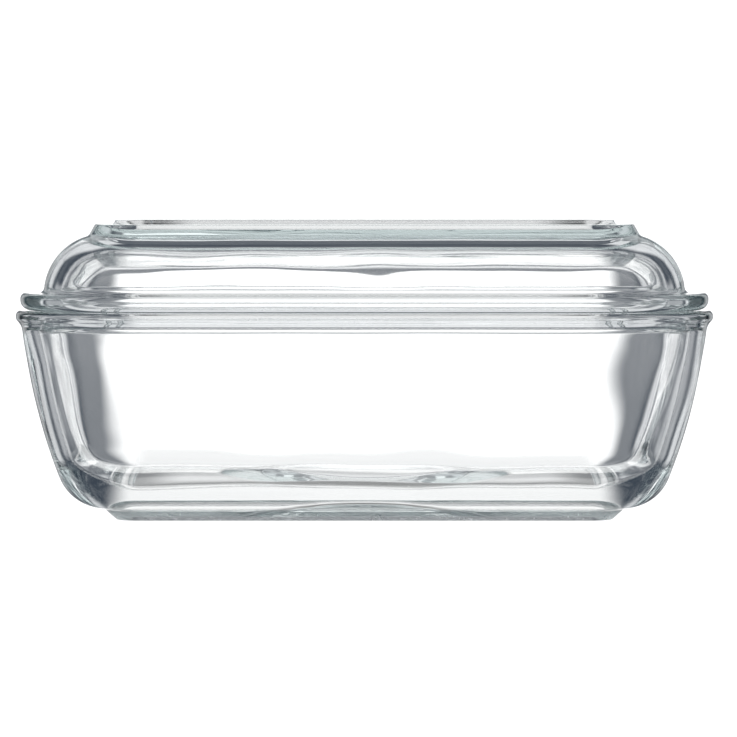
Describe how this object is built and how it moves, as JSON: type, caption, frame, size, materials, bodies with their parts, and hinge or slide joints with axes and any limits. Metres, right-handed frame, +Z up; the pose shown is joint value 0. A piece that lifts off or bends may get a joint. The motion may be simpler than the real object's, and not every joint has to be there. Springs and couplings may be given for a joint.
{
  "type": "covered glass loaf dish",
  "caption": "Deep rectangular dish in clear pressed glass with a lift-off domed lid, a rolled rim, a foot ring and a stacking ring on the lid.",
  "frame": {"origin": "middle of the foot ring, on the surface the dish stands on", "axes": "+X along the dish, +Y across it, +Z up"},
  "size_m": [0.17, 0.104, 0.0722],
  "materials": {
    "dish_glass": "fire-polished, clear with a faint grey-green tint",
    "lid_glass": "fire-polished, clear with a faint grey-green tint"
  },
  "bodies": {
    "dish": {"dish": "dish_glass"},
    "lid": {"lid": "lid_glass"}
  },
  "joints": [
    {"name": "lid_lift", "type": "slide", "parent": "dish", "child": "lid", "axis": [0, 0, 1], "range_m": [0, 0.1]}
  ]
}
